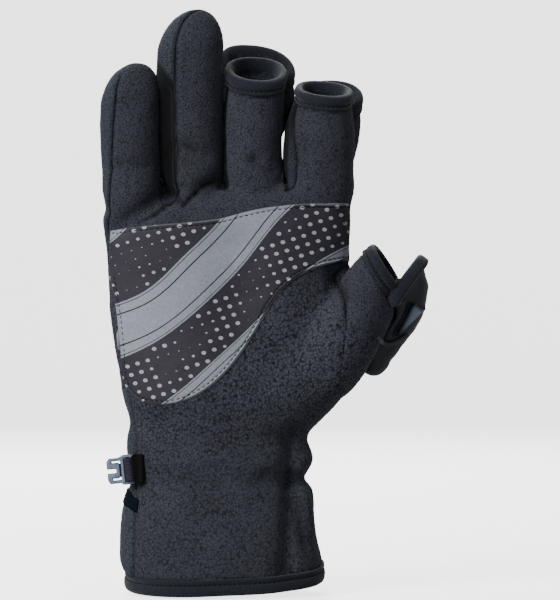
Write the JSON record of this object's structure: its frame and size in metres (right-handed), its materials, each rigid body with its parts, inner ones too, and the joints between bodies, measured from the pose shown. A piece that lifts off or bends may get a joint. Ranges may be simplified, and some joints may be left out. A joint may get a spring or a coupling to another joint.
{
  "type": "fleece glove",
  "caption": "Right-hand fleece glove with full little and ring fingers, fold-back caps on the thumb, index and middle fingers, a palm grip patch and a cuff hook.",
  "frame": {"origin": "the middle of the cuff's mouth, level with its hem, where the hand goes in", "axes": "+Z from the cuff to the fingertips, +X to the thumb's side, the palm faces -Y"},
  "size_m": [0.1346, 0.058, 0.2379],
  "materials": {
    "fleece": "matt, short nap",
    "patch_cloth": "matt, printed, slightly rubbery",
    "binding": "matt, fine rib",
    "smooth_softshell": "satin, smooth",
    "elastic": "satin cord",
    "webbing": "matt, flat weave",
    "hook_plastic": "satin, moulded",
    "tab_cloth": "matt, flat weave"
  },
  "bodies": {
    "glove": {"palm_panel": "fleece", "back_panel": "fleece", "thumb_stall": "fleece", "palm_patch": "patch_cloth", "cuff_binding": "binding", "middle_mouth_binding": "binding", "index_mouth_binding": "binding", "thumb_mouth_binding": "binding", "middle_cap": "fleece", "index_cap": "fleece", "thumb_cap": "smooth_softshell", "middle_cap_binding": "binding", "index_cap_binding": "binding", "thumb_cap_binding": "binding", "thumb_keeper": "elastic", "hook_loop": "webbing", "wrist_tab": "tab_cloth"},
    "hook": {"glove_hook": "hook_plastic"}
  },
  "joints": [
    {"name": "hook_swing", "type": "hinge", "parent": "glove", "child": "hook", "pos_m": [-0.0361, -0.0132, 0.0476], "axis": [-0.0998, 0, 0.995], "range_deg": [-60, 60]}
  ]
}
